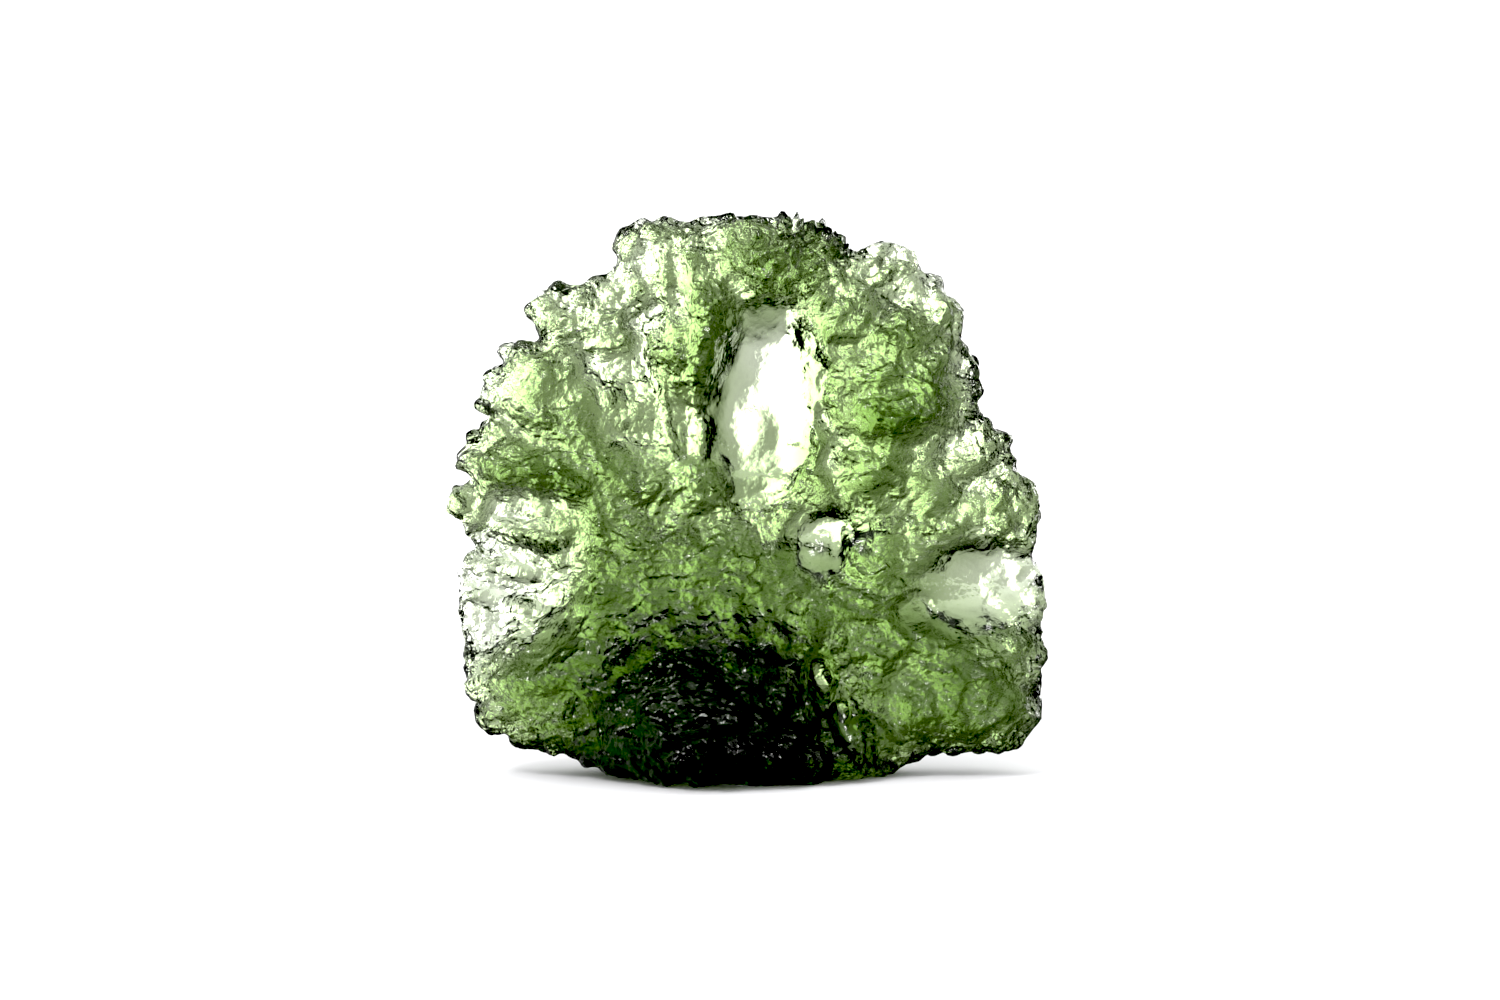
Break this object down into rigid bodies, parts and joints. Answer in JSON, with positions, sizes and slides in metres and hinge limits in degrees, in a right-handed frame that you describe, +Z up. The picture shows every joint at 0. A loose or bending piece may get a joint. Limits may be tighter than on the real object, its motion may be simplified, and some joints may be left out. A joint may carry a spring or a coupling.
{
  "type": "moldavite",
  "caption": "Fan-shaped piece of natural green glass with a thick lumpy belly, a deep pit and side scoops, standing on a flat spot.",
  "frame": {"origin": "on the surface the stone stands on, under the middle of its bounding box", "axes": "+Z up; -Y out of the face with the belly and the deep pit; +X to the right of that face"},
  "size_m": [0.025, 0.011, 0.0234],
  "materials": {
    "green_glass": "see-through bottle-green glass with an etched, finely pitted skin"
  },
  "bodies": {
    "root": {"moldavite": "green_glass"}
  },
  "joints": []
}
